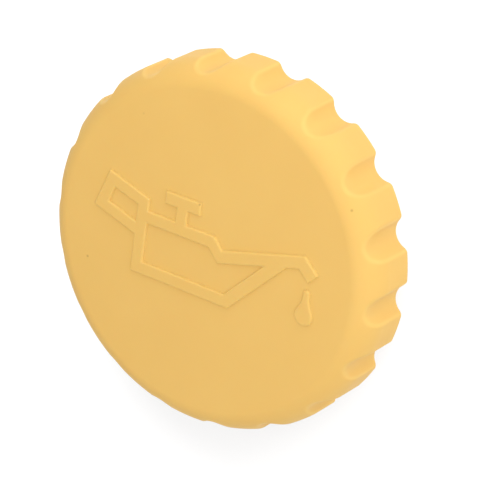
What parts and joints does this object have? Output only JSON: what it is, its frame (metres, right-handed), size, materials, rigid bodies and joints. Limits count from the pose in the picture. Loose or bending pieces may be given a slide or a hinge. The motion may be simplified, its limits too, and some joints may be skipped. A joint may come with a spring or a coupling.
{
  "type": "oil filler cap",
  "caption": "Round scalloped oil filler cap with a raised oil can sign, a hollow bayonet plug and a rubber seal, which closes the oil filler neck of an engine.",
  "frame": {"origin": "on the cap's axis, in the plane where the lower face of the seal meets the rim of the filler neck", "axes": "+Z along the axis and out of the face, +X through the middle of a finger groove to the right of the sign, +Y towards the top of the sign"},
  "size_m": [0.0636, 0.064, 0.024],
  "materials": {
    "yellow_plastic": "satin moulded plastic, slightly waxy",
    "black_rubber": "matt moulded rubber"
  },
  "bodies": {
    "root": {"cap_body": "yellow_plastic", "seal_ring": "black_rubber"}
  },
  "joints": []
}
